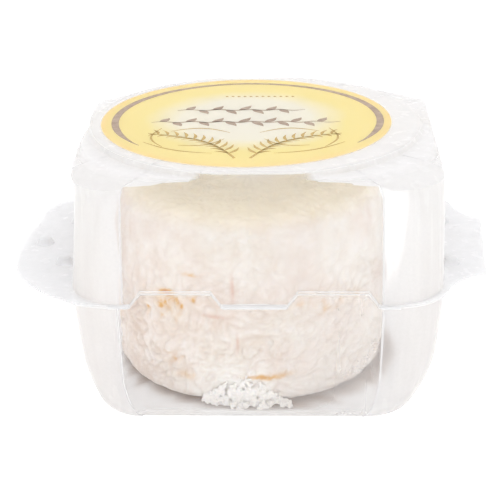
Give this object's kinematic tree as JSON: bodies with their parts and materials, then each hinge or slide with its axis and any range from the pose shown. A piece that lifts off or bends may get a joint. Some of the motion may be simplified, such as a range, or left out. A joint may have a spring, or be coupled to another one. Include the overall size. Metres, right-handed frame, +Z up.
{
  "type": "small cheese wheel in a hinged clear box",
  "caption": "Small drum-shaped white-rind cheese resting in a clear square clamshell box with side ears, a lid on a living hinge and a round label on top.",
  "frame": {"origin": "middle of the box's underside, on the surface that it stands on", "axes": "+Z up, +X to the right along the hinge line, towards the straight-sided ear, and +Y from the hinge to the opening side"},
  "size_m": [0.0993, 0.0757, 0.0523],
  "materials": {
    "rind": "matte bloomy rind, wrinkled, with ochre spots",
    "clear_sheet": "clear thermoformed sheet, slightly hazy",
    "label_paper": "coated printed paper, satin"
  },
  "bodies": {
    "tray": {"base_tray": "clear_sheet", "cheese": "rind", "hinge_left": "clear_sheet", "hinge_middle": "clear_sheet", "hinge_right": "clear_sheet", "rind_crumb_1": "rind", "rind_crumb_2": "rind", "rind_crumb_3": "rind", "rind_crumb_4": "rind"},
    "lid": {"lid": "clear_sheet", "label": "label_paper"}
  },
  "joints": [
    {"name": "lid_hinge", "type": "hinge", "parent": "tray", "child": "lid", "pos_m": [0, -0.0369, 0.02615], "axis": [1, 0, 0], "range_deg": [0, 180]}
  ]
}
